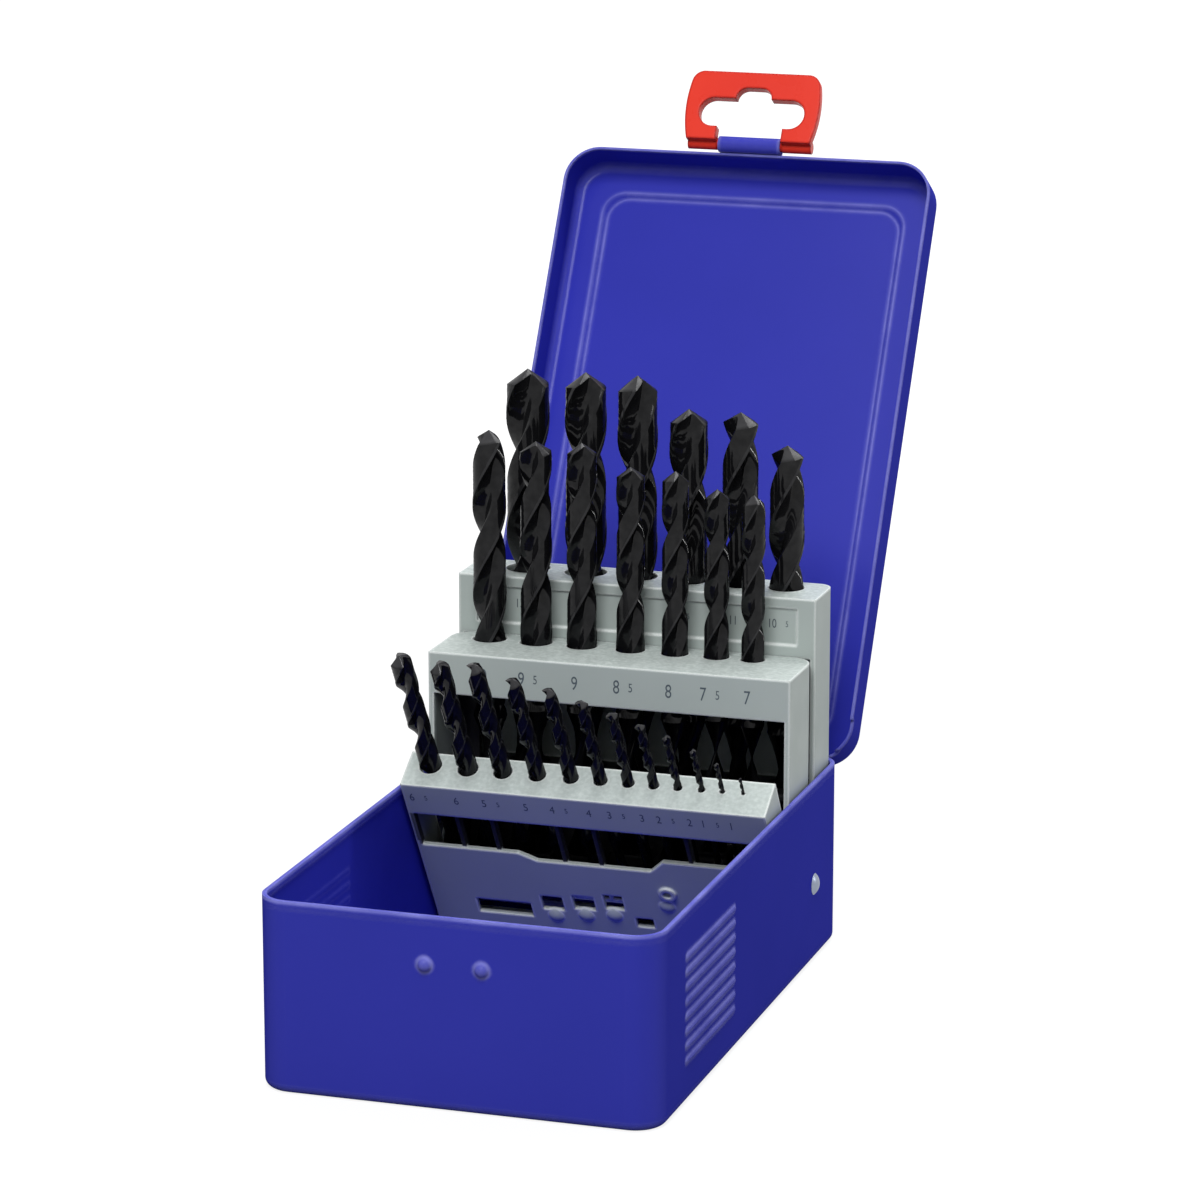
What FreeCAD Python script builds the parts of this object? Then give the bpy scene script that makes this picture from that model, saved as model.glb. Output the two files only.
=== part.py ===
import FreeCAD, Part
import math
import os

# Drill bit case: sheet steel tray and lid, three plastic racks, 25 twist drills, millimetres, Z up
V = FreeCAD.Vector
AXIS_X = V(1, 0, 0)
AXIS_Y = V(0, 1, 0)
AXIS_Z = V(0, 0, 1)

# Tray
sheet = 0.8
tray_width = 115.0
tray_depth = 184.0
tray_height = 55.0
tray_corner = 9.0
tray_bottom_round = 2.5
hem_thickness = 0.5
hem_height = 2.0
catch_spacing = 16.2
catch_drop = 13.8
catch_radius = 2.0
catch_height = 1.6
rib_count = 8
rib_front_gap = 26.0
rib_length = 45.0
rib_lowest = 12.5
rib_pitch = 4.2
rib_radius = 1.1
rib_stand_out = 0.5

# Lid, drawn closed and then swung open about the hinge pin
open_degrees = 120.0
lid_gap = 0.9
lid_front_gap = 1.4
lid_overlap = 2.0
lid_height = 14.0
lid_corner = 11.0
lid_edge_round = 3.5
lid_rear_strip = 8.0
lid_rear_lift = 1.3
panel_margin = 9.5
panel_slope = 2.4
panel_rise = 1.2
panel_corner = 7.0

# Hinge
hinge_offset = 2.4
knuckle_radius = 1.8
knuckle_length = 16.4
knuckle_count = 5
knuckle_gap = 0.4
hinge_pin_radius = 1.0
hinge_wall_step = 1.4
notch_rise = 2.0
pin_clearance = 0.06

# Latch with hanging hole, drawn folded down over the front wall
latch_axis_drop = 2.4
latch_axis_out = 4.9
loop_length = 20.0
loop_radius = 2.5
loop_bore = 1.7
bar_radius = 1.6
latch_width = 43.0
latch_reach = 22.6
latch_back = 0.6
latch_thickness = 3.4
latch_waist = 1.6
latch_corner = 4.0
hole_start = 4.4
hole_end = 13.9
hole_width = 34.0
hole_crown_width = 11.5
hole_crown_rise = 3.6
crown_share = 0.62
loop_side_gap = 0.6
latch_edge_round = 0.7
arm_radius = 1.9

# Racks: places along Y are measured forward from the tray's back wall
rack_side_gap = 1.5
rack_wall = 1.6
rack_plate = 2.0
hole_clearance = 0.08

front_tilt = 33.0
front_edge_back = 74.7
front_edge_z = 57.0
front_depth = 13.0
front_length = 62.5
front_row = 8.3
front_strip = 12.5
front_panel = 1.4
front_back_wall = 1.2
front_back_start = 46.0
front_guide = 45.4
front_post_gap = 0.4
front_ledge = 1.4
front_foot_cut = 2.5
front_panel_tops = (26.6, 26.6, 29.4, 29.4, 24.6, 24.6)
front_panel_shares = (-1, -0.4348, -0.337, 0.2935, 0.3732, 1)
front_rib_shares = (-0.7373, -0.5417, -0.1812, 0.0217, 0.5286)
front_rib_side = 1.2
front_rib_depth = 3.2
front_window_levels = ((49.2, 55.4), (45.1, 51.4), (43.7, 49.9), (42.0, 48.5), (51.2, 55.4))
front_window_end_shares = ((-0.7482, -0.4402), (-0.3732, -0.2518), (-0.192, -0.0707),
                           (-0.0127, 0.0942), (0.1431, 0.2428))
front_boss_levels = (53.9, 52.4, 51.1, 44.5)
front_boss_shares = (-0.308, -0.1341, 0.029, 0.3424)
boss_radius = 2.6
boss_height = 0.9
eyelet_share = 0.3623
eyelet_s = 38.4
eyelet_radius = 2.7
eyelet_bore = 1.3

middle_edge_back = 49.5
middle_edge_z = 90.7
middle_depth = 26.7
middle_row = 20.1
middle_strip = 12.4
middle_shelf = 49.7
middle_bottom = 71.2
middle_chamfer_front = 46.6
middle_chamfer_depth = 16.3
middle_inset = 2.2
middle_corner = 7.0
middle_floor = 1.5
peg_radius = 2.0
peg_side = 10.2
peg_z = 36.0

rear_edge_back = 22.4
rear_edge_z = 108.2
rear_depth = 20.0
rear_row = 12.5
rear_strip = 18.0
rear_bottom = 91.7
rear_chamfer_z = 74.0
rear_chamfer_y = 12.5
rear_floor_reach = 16.0
rear_floor_side = 7.0
rear_guide = 60.0
rear_corner = 4.5
rear_back_wall = 0.7
rear_floor = 1.5
label_depth = 0.5
label_side = 5.7
label_top = 3.2
label_bottom = 14.2
arm_top = 39.0
arm_bottom = 20.0

# Pivots and brackets
stack_pivot_back = 35.0
stack_pivot_z = 30.3
front_pivot_back = 34.0
front_pivot_z = 11.0
pivot_pin_radius = 2.0
pivot_boss_radius = 4.2
front_boss_radius = 3.9
pin_past = 0.2
bracket_gap = 0.4
bracket_thickness = 0.8
bracket_outline = ((40.5, 35.2), (40.5, 7.0), (35.0, 3.0), (15.0, 2.5), (15.0, 6.0), (24.0, 24.0),
                   (25.5, 29.0), (31.5, 35.2))
bracket_bend = 1.6
bracket_foot_z = 0.9
bracket_foot_back = 25.5
bracket_foot_width = 7.0
rivet_back = 29.1
rivet_z = 24.0
rivet_shank = 1.6
rivet_head = 3.25
rivet_head_height = 1.5
seat_gap = 0.1

# Drills: diameter, whole length, fluted length, shank end's depth below the plate
front_drills = ((6.5, 101.0, 63.0, 54.0), (6.0, 93.0, 57.0, 48.0), (5.5, 93.0, 57.0, 47.0),
                (5.0, 86.0, 52.0, 45.0), (4.5, 80.0, 47.0, 42.0), (4.0, 75.0, 43.0, 41.0),
                (3.5, 70.0, 39.0, 40.0), (3.0, 61.0, 33.0, 35.0), (2.5, 57.0, 30.0, 35.0),
                (2.0, 49.0, 24.0, 32.0), (1.5, 40.0, 18.0, 28.0), (1.0, 34.0, 12.0, 27.5))
middle_drills = ((10.0, 133.0, 87.0, 69.7), (9.5, 125.0, 81.0, 64.2), (9.0, 125.0, 81.0, 63.7),
                 (8.5, 117.0, 75.0, 61.9), (8.0, 117.0, 75.0, 62.2), (7.5, 109.0, 69.0, 58.7),
                 (7.0, 109.0, 69.0, 59.7))
rear_drills = ((13.0, 151.0, 101.0, 90.2), (12.5, 151.0, 101.0, 90.2), (12.0, 151.0, 101.0, 90.2),
               (11.5, 142.0, 94.0, 90.2), (11.0, 142.0, 94.0, 90.2), (10.5, 133.0, 87.0, 90.2))
front_drill_shares = (-0.8714, -0.663, -0.4692, -0.2772, -0.0924, 0.0707, 0.2228, 0.3623,
                      0.4928, 0.6214, 0.7337, 0.846)
middle_drill_shares = (-0.779, -0.5163, -0.2591, 0.0127, 0.2609, 0.4909, 0.692)
rear_drill_shares = (-0.6793, -0.3514, -0.0598, 0.2264, 0.5145, 0.7736)
pitch_share = 5.44
core_share = 0.30
land_degrees = 40.0
section_degrees = 40.0
runout_shares = (0.96, 0.62, 0.38)
point_degrees = 59.0
chisel_share = 0.14
shank_chamfer_share = 0.08
ledge_side_share = 0.62

overrun = 3.0
half = 0.5


def box(x0, x1, y0, y1, z0, z1):
    return Part.makeBox(x1 - x0, y1 - y0, z1 - z0, V(x0, y0, z0))


def rod(radius, x0, x1, y, z):
    return Part.makeCylinder(radius, x1 - x0, V(x0, y, z), AXIS_X)


def prism(points, x0, x1):
    corners = [V(x0, y, z) for y, z in points]
    face = Part.Face(Part.makePolygon(corners + corners[:1]))
    return face.extrude(V(x1 - x0, 0, 0))


def mirrored(make):
    right = make()
    return right, right.mirror(V(0, 0, 0), AXIS_X)


def fused(shapes):
    body = shapes[0].fuse(shapes[1:])
    return body.removeSplitter()


def edges_along(shape, direction, test):
    chosen = []
    for edge in shape.Edges:
        if len(edge.Vertexes) == 2:
            run = edge.Vertexes[1].Point - edge.Vertexes[0].Point
            if run.Length > 0 and run.cross(direction).Length < run.Length * chisel_share:
                if test(edge.CenterOfMass):
                    chosen.append(edge)
    return chosen


def rounded_box(x0, x1, y0, y1, z0, z1, corner, test=None):
    block = box(x0, x1, y0, y1, z0, z1)
    return block.makeFillet(corner, edges_along(block, AXIS_Z, test or (lambda p: True)))


def edges_at_level(shape, z):
    level = []
    for edge in shape.Edges:
        bounds = edge.BoundBox
        if abs(bounds.ZMin - z) < seat_gap and abs(bounds.ZMax - z) < seat_gap:
            level.append(edge)
    return level


def pan(x0, x1, y0, y1, z_open, z_shut, corner, edge_round):
    shell = rounded_box(x0, x1, y0, y1, min(z_open, z_shut), max(z_open, z_shut), corner)
    return shell.makeFillet(edge_round, edges_at_level(shell, z_shut))


def rounded_wire(x0, x1, y0, y1, corner, z):
    slab = rounded_box(x0, x1, y0, y1, z, z + sheet, corner)
    face = [f for f in slab.Faces if abs(f.CenterOfMass.z - z) < seat_gap][0]
    return face.OuterWire


def save(name, shape):
    shape.exportStep("parts/" + name + ".step")


wall_x = tray_width * half
wall_y = tray_depth * half
inner_x = wall_x - sheet
inner_y = wall_y - sheet
hinge_y = wall_y + hinge_offset
hinge_z = tray_height
lid_x = wall_x + lid_gap + sheet
lid_front = -wall_y - lid_front_gap - sheet
lid_rear = hinge_y + hinge_wall_step + sheet
lid_open_z = tray_height - lid_overlap
lid_top = lid_open_z + lid_height
latch_y = -wall_y - latch_axis_out
latch_z = tray_height - latch_axis_drop
hinge_start = -knuckle_length * knuckle_count * half
rack_half_width = inner_x - rack_side_gap
bracket_inner = rack_half_width + bracket_gap
bracket_outer = bracket_inner + bracket_thickness
front_edge_y = wall_y - front_edge_back
middle_edge_y = wall_y - middle_edge_back
rear_edge_y = wall_y - rear_edge_back
stack_pivot_y = wall_y - stack_pivot_back
front_pivot_y = wall_y - front_pivot_back
rivet_y = wall_y - rivet_back
front_pin_end = rack_half_width - rack_wall - pin_past
stack_pin_end = front_pin_end - middle_inset
label_half = rack_half_width - label_side
peg_x = rack_half_width - peg_side


def row_of(drills, shares):
    row = []
    for (diameter, length, fluted, depth), share in zip(drills, shares):
        row.append((diameter, length, fluted, share * rack_half_width, depth))
    return row


front_set = row_of(front_drills, front_drill_shares)
middle_set = row_of(middle_drills, middle_drill_shares)
rear_set = row_of(rear_drills, rear_drill_shares)


def swung(shape):
    turned = shape.copy()
    turned.rotate(V(0, hinge_y, hinge_z), AXIS_X, -open_degrees)
    return turned


def knuckle_spans(lid_side):
    first = 0 if lid_side else 1
    spans = []
    for index in range(first, knuckle_count, 2):
        left = hinge_start + index * knuckle_length + knuckle_gap * half
        spans.append((left, left + knuckle_length - knuckle_gap))
    return spans


def catch_domes():
    ball = (catch_radius ** 2 + catch_height ** 2) / (catch_height + catch_height)
    centre_y = -wall_y - catch_height + ball
    keep_out = box(-wall_x, wall_x, -inner_y, inner_y, 0, tray_height)
    domes = []
    for side in (-1, 1):
        x = side * catch_spacing * half
        dome = Part.makeSphere(ball, V(x, centre_y, tray_height - catch_drop))
        domes.append(dome.cut(keep_out))
    return domes


def grip_ribs():
    ribs = []
    centre_x = wall_x + rib_stand_out - rib_radius
    rib_front = rib_front_gap - wall_y
    keep_out = box(-inner_x, inner_x, -wall_y, wall_y, 0, tray_height)
    for index in range(rib_count):
        z = rib_lowest + index * rib_pitch
        for side in (-1, 1):
            bead = Part.makeCylinder(rib_radius, rib_length, V(side * centre_x, rib_front, z), AXIS_Y)
            for end in (rib_front, rib_front + rib_length):
                bead = bead.fuse(Part.makeSphere(rib_radius, V(side * centre_x, end, z)))
            ribs.append(bead.cut(keep_out))
    return ribs


def base_tray():
    outer = pan(-wall_x, wall_x, -wall_y, wall_y, tray_height, 0, tray_corner, tray_bottom_round)
    inner = pan(-inner_x, inner_x, -inner_y, inner_y, tray_height + overrun, sheet,
                tray_corner - sheet, tray_bottom_round - sheet)
    tray = outer.cut(inner)
    hem_x = inner_x - hem_thickness
    hem_y = inner_y - hem_thickness
    hem_low = tray_height - hem_height
    hem_out = rounded_box(-wall_x, wall_x, -wall_y, wall_y, hem_low, tray_height, tray_corner)
    hem_corner = tray_corner - sheet - hem_thickness
    hem_in = rounded_box(-hem_x, hem_x, -hem_y, hem_y, hem_low - overrun, tray_height + overrun, hem_corner)
    pieces = [tray, hem_out.cut(hem_in)] + catch_domes() + grip_ribs()
    for x0, x1 in knuckle_spans(False):
        pieces.append(rod(knuckle_radius, x0, x1, hinge_y, hinge_z))
        leaf_low = hinge_z - knuckle_radius
        pieces.append(box(x0, x1, inner_y, hinge_y, leaf_low, leaf_low + sheet))
    body = fused(pieces)
    bore = rod(hinge_pin_radius + pin_clearance, -wall_x, wall_x, hinge_y, hinge_z)
    body = body.cut(bore)
    for side in (-1, 1):
        start = side * (wall_x - sheet - overrun)
        end = side * (wall_x + overrun)
        hole = rod(rivet_shank + pin_clearance, min(start, end), max(start, end), rivet_y, rivet_z)
        body = body.cut(hole)
    return body


def lid_panel(z):
    low = panel_margin
    high = low + panel_slope
    base = z - sheet * half
    lower = rounded_wire(-lid_x + low, lid_x - low, lid_front + low, lid_rear - low, panel_corner, base)
    upper = rounded_wire(-lid_x + high, lid_x - high, lid_front + high, lid_rear - high,
                         panel_corner, z + panel_rise)
    return Part.makeLoft([lower, upper], True, True)


def lid_shell():
    outer = pan(-lid_x, lid_x, lid_front, lid_rear, lid_open_z, lid_top, lid_corner, lid_edge_round)
    outer = outer.fuse(lid_panel(lid_top))
    inner_width = lid_x - sheet
    inner = pan(-inner_width, inner_width, lid_front + sheet, lid_rear - sheet, lid_open_z - overrun,
                lid_top - sheet, lid_corner - sheet, lid_edge_round - sheet)
    inner = inner.fuse(lid_panel(lid_top - sheet))
    shell = outer.cut(inner)
    shell = shell.cut(box(-lid_x - overrun, lid_x + overrun, wall_y - lid_rear_strip, lid_rear + overrun,
                          lid_open_z - overrun, lid_open_z + lid_rear_lift))
    for x0, x1 in knuckle_spans(False):
        shell = shell.cut(box(x0 - knuckle_gap, x1 + knuckle_gap, hinge_y, lid_rear + overrun,
                              lid_open_z - overrun, hinge_z + notch_rise))
    pieces = [shell]
    for x0, x1 in knuckle_spans(True):
        pieces.append(rod(knuckle_radius, x0, x1, hinge_y, hinge_z))
    loop_half = loop_length * half
    pieces.append(rod(loop_radius, -loop_half, loop_half, latch_y, latch_z))
    tongue_top = latch_z + loop_radius
    pieces.append(box(-loop_half, loop_half, latch_y, lid_front + sheet, tongue_top - sheet, tongue_top))
    body = fused(pieces)
    body = body.cut(rod(hinge_pin_radius + pin_clearance, -lid_x, lid_x, hinge_y, hinge_z))
    return body.cut(rod(loop_bore, -loop_half - overrun, loop_half + overrun, latch_y, latch_z))


def latch():
    back = -wall_y - latch_back
    face = back - latch_thickness
    side = latch_width * half
    foot = latch_z - latch_reach
    middle = (latch_z + foot) * half
    inset = side - latch_waist
    points = [V(-inset, face, latch_z), V(-side, face, middle), V(-inset, face, foot),
              V(inset, face, foot), V(side, face, middle), V(inset, face, latch_z)]
    left = Part.Arc(points[0], points[1], points[2]).toShape()
    right = Part.Arc(points[3], points[4], points[5]).toShape()
    bottom = Part.makeLine(points[2], points[3])
    top = Part.makeLine(points[5], points[0])
    outline = Part.Wire([left, bottom, right, top])
    plate = Part.Face(outline).extrude(V(0, latch_thickness, 0))
    plate = plate.makeFillet(latch_corner, edges_along(plate, AXIS_Y, lambda p: p.z < middle))
    slot_radius = (hole_end - hole_start) * half
    slot_z = latch_z - (hole_start + hole_end) * half
    straight = hole_width * half - slot_radius
    depth = latch_thickness + overrun + overrun
    start_y = face - overrun
    slot = box(-straight, straight, start_y, start_y + depth, slot_z - slot_radius, slot_z + slot_radius)
    for x in (-straight, straight):
        slot = slot.fuse(Part.makeCylinder(slot_radius, depth, V(x, start_y, slot_z), AXIS_Y))
    crown = hole_crown_width * half
    crown_z = latch_z - hole_end - hole_crown_rise
    dome = box(-crown, crown, start_y, start_y + depth, crown_z, slot_z)
    crown_edges = edges_along(dome, AXIS_Y, lambda p: p.z < slot_z - sheet)
    dome = dome.makeFillet(crown * crown_share, crown_edges)
    notch = loop_length * half + loop_side_gap
    passage = box(-notch, notch, start_y, start_y + depth, slot_z, latch_z + overrun)
    rim = [edge for edge in plate.Edges if abs(edge.CenterOfMass.y - face) < seat_gap
           and edge.CenterOfMass.z < latch_z - sheet]
    plate = plate.makeFillet(latch_edge_round, rim)
    body = plate.cut(slot.fuse(dome).fuse(passage))
    arms = []
    for sign in (-1, 1):
        ends = sorted((sign * notch, sign * inset))
        arms.append(rod(arm_radius, ends[0], ends[1], latch_y, latch_z))
    bar = rod(bar_radius, -inset + sheet, inset - sheet, latch_y, latch_z)
    return fused([body, bar] + arms)


def rack_place(shape, edge_y, edge_z, tilt=0):
    placed = shape.copy()
    placed.rotate(V(0, 0, 0), AXIS_X, tilt)
    placed.translate(V(0, edge_y, edge_z))
    return placed


def cut_all(body, tools):
    return body.cut(tools[0].fuse(tools[1:])) if len(tools) > 1 else body.cut(tools[0])


def side_walls(points, inner, outer):
    return list(mirrored(lambda: prism(points, inner, outer)))


def rack_shell(depth, corner, bottom):
    width = rack_half_width
    inner = width - rack_wall
    outside = rounded_box(-width, width, 0, depth, -bottom, 0, corner, lambda p: p.y > corner)
    hollow = rounded_box(-inner, inner, -overrun, depth - rack_wall, -bottom - overrun, -rack_plate,
                         corner - rack_wall, lambda p: p.y > corner)
    back = box(corner - width, width - corner, depth - rack_wall - overrun, depth + overrun,
               -bottom - overrun, -rack_plate)
    return outside.cut(hollow.fuse(back))


def rack_front():
    width = rack_half_width
    pivot_t, pivot_s = front_local(front_pivot_y, front_pivot_z)
    outline = ((0, 0), (front_depth, 0), (front_depth, -front_length + front_foot_cut),
               (front_depth - front_foot_cut, -front_length), (0, -front_length))
    pieces = side_walls(outline, width - rack_wall, width)
    pieces.append(box(-width, width, 0, front_depth, -rack_plate, 0))
    pieces.append(box(-width, width, 0, front_panel, -front_strip, 0))
    corners = [V(share * width, 0, -top) for share, top in zip(front_panel_shares, front_panel_tops)]
    corners += [V(width, 0, -front_length), V(-width, 0, -front_length)]
    panel = Part.Face(Part.makePolygon(corners + corners[:1]))
    pieces.append(panel.extrude(V(0, front_panel, 0)))
    rib_half = front_rib_side * half
    for share in front_rib_shares:
        x = share * width
        pieces.append(box(x - rib_half, x + rib_half, front_panel * half, front_rib_depth, -front_guide, 0))
    wall_t = front_depth - front_back_wall
    pieces.append(box(-width, width, wall_t, front_depth, -front_length + front_foot_cut, -front_back_start))
    pieces.append(box(-width, width, 0, wall_t, -front_length, -front_length + front_panel))
    pieces.append(box(-width, width, 0, front_depth, -front_guide - front_panel, -front_guide))
    for diameter, length, fluted, x, depth in front_set:
        reach = diameter * ledge_side_share + front_panel
        if depth > front_guide:
            pieces.append(box(x - reach, x + reach, 0, front_depth, -depth - front_ledge, -depth))
        else:
            post = diameter * half + front_post_gap
            pieces.append(Part.makeCylinder(post, front_guide - depth, V(x, front_row, -front_guide)))
    pieces += list(mirrored(lambda: rod(front_boss_radius, width - rack_wall, width, pivot_t, pivot_s)))
    body = fused(pieces)
    tools = []
    for (high, low), (left, right) in zip(front_window_levels, front_window_end_shares):
        tools.append(box(left * width, right * width, -overrun, front_panel, -low, -high))
    eyelet_x = eyelet_share * width
    eye = Part.makeCylinder(eyelet_bore, front_panel + overrun, V(eyelet_x, -overrun, -eyelet_s), AXIS_Y)
    body = cut_all(body, tools)
    studs = []
    ball = (boss_radius ** 2 + boss_height ** 2) / (boss_height + boss_height)
    for level, share in zip(front_boss_levels, front_boss_shares):
        dome = Part.makeSphere(ball, V(share * width, ball - boss_height, -level))
        studs.append(dome.common(box(-width, width, -overrun, front_panel * half, -front_length, 0)))
    centre = V(eyelet_x, -boss_height, -eyelet_s)
    ring = Part.makeCylinder(eyelet_radius, boss_height + front_panel, centre, AXIS_Y)
    body = fused([body, ring] + studs)
    body = body.cut(eye)
    for diameter, length, fluted, x, depth in front_set:
        hole = Part.makeCylinder(diameter * half + hole_clearance, depth + overrun, V(x, front_row, -depth))
        body = body.cut(hole)
    bore = rod(pivot_pin_radius + pin_clearance, -width - overrun, width + overrun, pivot_t, pivot_s)
    return rack_place(body.cut(bore), front_edge_y, front_edge_z, front_tilt)


def front_local(y, z):
    angle = math.radians(front_tilt)
    dy = y - front_edge_y
    dz = z - front_edge_z
    return dy * math.cos(angle) + dz * math.sin(angle), -dy * math.sin(angle) + dz * math.cos(angle)


def rack_middle():
    width = rack_half_width
    lower_out = width - middle_inset
    pivot_t = stack_pivot_y - middle_edge_y
    pivot_z = stack_pivot_z - middle_edge_z
    slope = middle_chamfer_depth / (middle_bottom - middle_chamfer_front)
    shelf_t = (middle_shelf - middle_chamfer_front) * slope
    toe = ((-overrun, -middle_chamfer_front), (0, -middle_chamfer_front), (shelf_t, -middle_shelf),
           (shelf_t, -middle_bottom), (-overrun, -middle_bottom))
    lower = ((shelf_t, -middle_shelf), (middle_depth, -middle_shelf), (middle_depth, -middle_bottom),
             (middle_chamfer_depth, -middle_bottom))
    shell = rack_shell(middle_depth, middle_corner, middle_shelf)
    pieces = [shell.cut(prism(toe, -width - overrun, width + overrun))]
    pieces += side_walls(lower, lower_out - rack_wall, lower_out)
    pieces.append(box(-width, width, 0, rack_wall, -middle_strip, 0))
    shelf = rounded_box(-width, width, 0, middle_depth, -middle_shelf, -middle_shelf + rack_plate,
                        middle_corner, lambda p: p.y > middle_corner)
    pieces.append(shelf.cut(prism(toe, -width - overrun, width + overrun)))
    back_t = middle_depth - rack_wall
    pieces.append(box(-lower_out, lower_out, back_t, middle_depth, -middle_bottom, -middle_shelf))
    floor_top = -middle_bottom + middle_floor
    pieces.append(box(-lower_out, lower_out, middle_chamfer_depth, middle_depth, -middle_bottom, floor_top))
    for diameter, length, fluted, x, depth in middle_set:
        reach = diameter * ledge_side_share
        pieces.append(box(x - reach, x + reach, middle_chamfer_depth, middle_depth, -middle_bottom, -depth))
    boss_x = lower_out - rack_wall
    pieces += list(mirrored(lambda: rod(pivot_boss_radius, boss_x, lower_out, pivot_t, pivot_z)))
    for x in (-peg_x, peg_x):
        peg_level = peg_z - middle_edge_z
        peg = Part.makeCylinder(peg_radius, rack_wall + rack_wall + hem_thickness,
                                V(x, middle_depth - rack_wall * half, peg_level), AXIS_Y)
        pieces.append(peg)
    body = fused(pieces)
    for diameter, length, fluted, x, depth in middle_set:
        hole = Part.makeCylinder(diameter * half + hole_clearance, depth + overrun, V(x, middle_row, -depth))
        body = body.cut(hole)
    bore = rod(pivot_pin_radius + pin_clearance, -width - overrun, width + overrun, pivot_t, pivot_z)
    return rack_place(body.cut(bore), middle_edge_y, middle_edge_z)


def rack_rear():
    width = rack_half_width
    inner = width - rack_wall
    pivot_t = stack_pivot_y - rear_edge_y
    pivot_z = stack_pivot_z - rear_edge_z
    heel = ((rear_depth + overrun, -rear_chamfer_z), (rear_depth, -rear_chamfer_z),
            (rear_chamfer_y, -rear_bottom), (rear_chamfer_y, -rear_bottom - overrun),
            (rear_depth + overrun, -rear_bottom - overrun))
    shell = rack_shell(rear_depth, rear_corner, rear_bottom)
    pieces = [shell.cut(prism(heel, -width - overrun, width + overrun))]
    pieces.append(box(-width, width, 0, rack_wall, -rear_strip, 0))
    shelf_low = arm_top - rear_edge_z
    pieces.append(box(-width, width, 0, rack_wall, -rear_bottom, shelf_low))
    pieces.append(rounded_box(-width, width, 0, rear_depth, -rear_guide - rack_plate, -rear_guide,
                              rear_corner, lambda p: p.y > rear_corner))
    back_x = width - rear_corner
    pieces.append(box(-back_x, back_x, rear_depth - rear_back_wall, rear_depth, -rear_chamfer_z, 0))
    floor_top = -rear_bottom + rear_floor
    floor_x = width - rear_floor_side
    pieces.append(box(-width, width, 0, rear_chamfer_y, -rear_bottom, floor_top))
    pieces.append(box(-floor_x, floor_x, 0, rear_floor_reach, -rear_bottom, floor_top))
    arm = ((pivot_t, pivot_z + pivot_boss_radius), (rack_wall, arm_top - rear_edge_z),
           (rack_wall, arm_bottom - rear_edge_z), (pivot_t, pivot_z - pivot_boss_radius))
    pieces += side_walls(arm, inner, width)
    pieces += list(mirrored(lambda: rod(pivot_boss_radius, inner, width, pivot_t, pivot_z)))
    body = fused(pieces)
    body = body.cut(box(-label_half, label_half, -overrun, label_depth, -label_bottom, -label_top))
    for x in (-peg_x, peg_x):
        socket = Part.makeCylinder(peg_radius + pin_clearance, rack_wall + overrun,
                                   V(x, -overrun * half, peg_z - rear_edge_z), AXIS_Y)
        body = body.cut(socket)
    for diameter, length, fluted, x, depth in rear_set:
        hole = Part.makeCylinder(diameter * half + hole_clearance, depth + overrun, V(x, rear_row, -depth))
        body = body.cut(hole)
    bore = rod(pivot_pin_radius + pin_clearance, -width - overrun, width + overrun, pivot_t, pivot_z)
    return rack_place(body.cut(bore), rear_edge_y, rear_edge_z)


def pivot_bracket():
    outer = bracket_outer
    outline = [(wall_y - back, z) for back, z in bracket_outline]
    plate = prism(outline, bracket_inner, outer)
    start = wall_y - bracket_foot_back
    end = max(y for y, z in outline)
    bend_x = outer - bracket_bend
    bend_z = bracket_foot_z + bracket_bend
    foot_top = bracket_foot_z + bracket_thickness
    foot = box(outer - bracket_foot_width, bend_x, start, end, bracket_foot_z, foot_top)
    seat = V(bend_x, start, bend_z)
    bend = Part.makeCylinder(bracket_bend, end - start, seat, AXIS_Y)
    inside = Part.makeCylinder(bracket_bend - bracket_thickness, end - start, seat, AXIS_Y)
    bend = bend.cut(inside).common(box(bend_x, outer, start, end, bracket_foot_z, bend_z))
    collar = box(bracket_inner, outer, start, end, bend_z, bend_z + bracket_bend)
    body = fused([plate, foot, bend, collar])
    places = ((stack_pivot_y, stack_pivot_z, pivot_pin_radius),
              (front_pivot_y, front_pivot_z, pivot_pin_radius),
              (rivet_y, rivet_z, rivet_shank))
    for y, z, radius in places:
        body = body.cut(rod(radius + pin_clearance, bracket_inner - overrun, outer + overrun, y, z))
    return body


def side_rivet():
    ball = (rivet_head ** 2 + rivet_head_height ** 2) / (rivet_head_height + rivet_head_height)
    centre_x = wall_x + rivet_head_height - ball
    head = Part.makeSphere(ball, V(centre_x, rivet_y, rivet_z))
    low_y, high_y, low_z, high_z = rivet_y - ball, rivet_y + ball, rivet_z - ball, rivet_z + ball
    head = head.common(box(wall_x, wall_x + ball, low_y, high_y, low_z, high_z))
    return head.fuse(rod(rivet_shank, bracket_inner, wall_x, rivet_y, rivet_z)).removeSplitter()


def flute_section(radius, core, angle, z):
    points = []
    for degrees in (-land_degrees, 0, land_degrees, 90, 180 - land_degrees, 180, 180 + land_degrees, 270):
        distance = core if degrees in (90, 270) else radius
        turn = math.radians(degrees + angle)
        points.append(V(distance * math.cos(turn), distance * math.sin(turn), z))
    arcs = []
    for start in (0, 2, 4, 6):
        corner = points[(start + 2) % len(points)]
        arcs.append(Part.Arc(points[start], points[start + 1], corner).toShape())
    return Part.Wire(arcs)


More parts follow.
